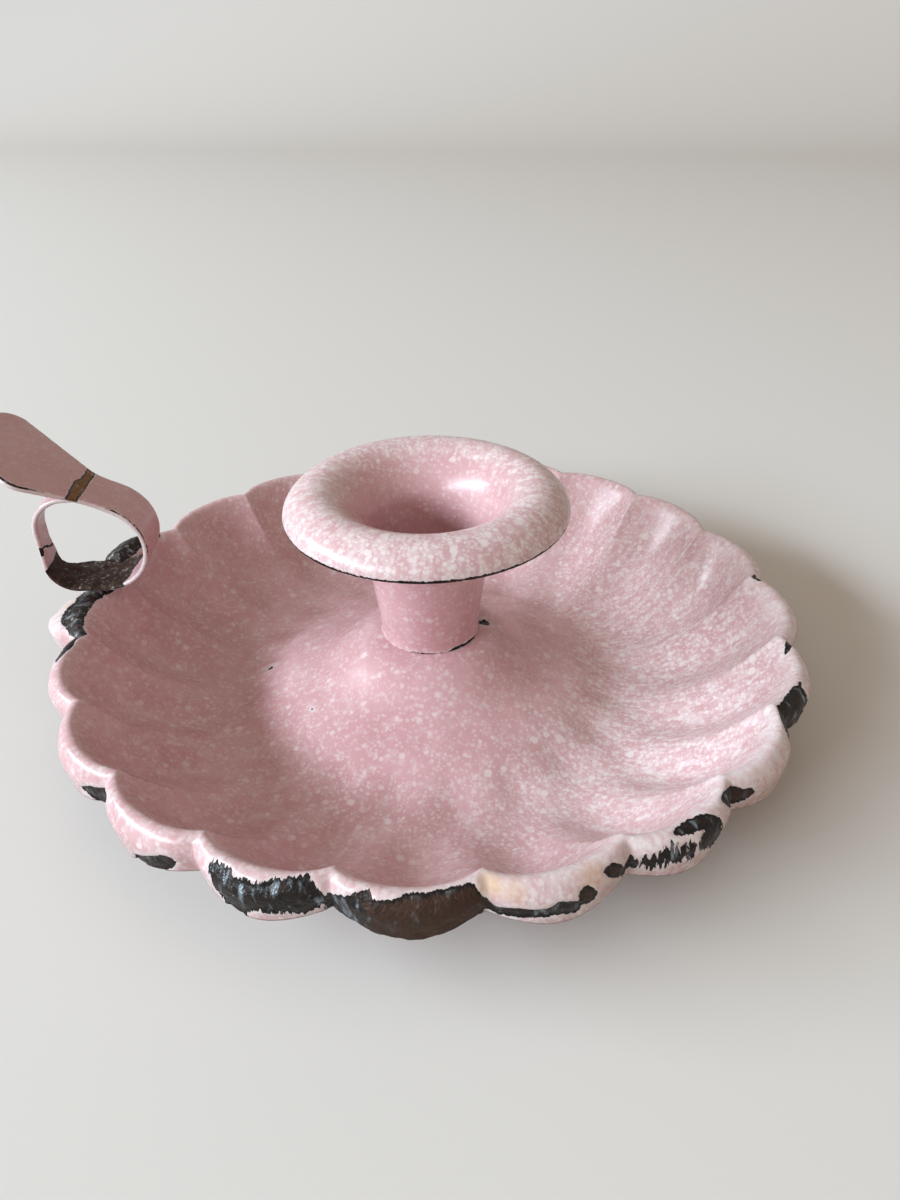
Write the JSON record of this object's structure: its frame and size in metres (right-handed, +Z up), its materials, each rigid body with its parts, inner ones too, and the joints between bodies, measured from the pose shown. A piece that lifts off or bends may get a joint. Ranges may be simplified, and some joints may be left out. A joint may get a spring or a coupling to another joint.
{
  "type": "chamberstick",
  "caption": "Low chamberstick: scalloped pressed-steel drip dish with a raised centre, trumpet-lipped candle socket and a strap finger loop with a thumb rest on the rim.",
  "frame": {"origin": "on the dish's axis, on the plane of the foot that it stands on", "axes": "+Z up along the candle socket's axis, +X from the finger loop towards the socket, so the loop is on the -X side, +Y to the left of that"},
  "size_m": [0.1819, 0.1616, 0.0591],
  "materials": {
    "dish_enamel": "glossy enamel, white speckle, chipped to bare steel at the rim",
    "socket_enamel": "glossy enamel, dense white speckle on the lip",
    "loop_enamel": "glossy enamel, sparse speckle, worn edges",
    "fastener_enamel": "glossy enamel"
  },
  "bodies": {
    "root": {"dish": "dish_enamel", "candle_socket": "socket_enamel", "finger_loop": "loop_enamel", "socket_rivet": "fastener_enamel", "socket_washer": "fastener_enamel"}
  },
  "joints": []
}
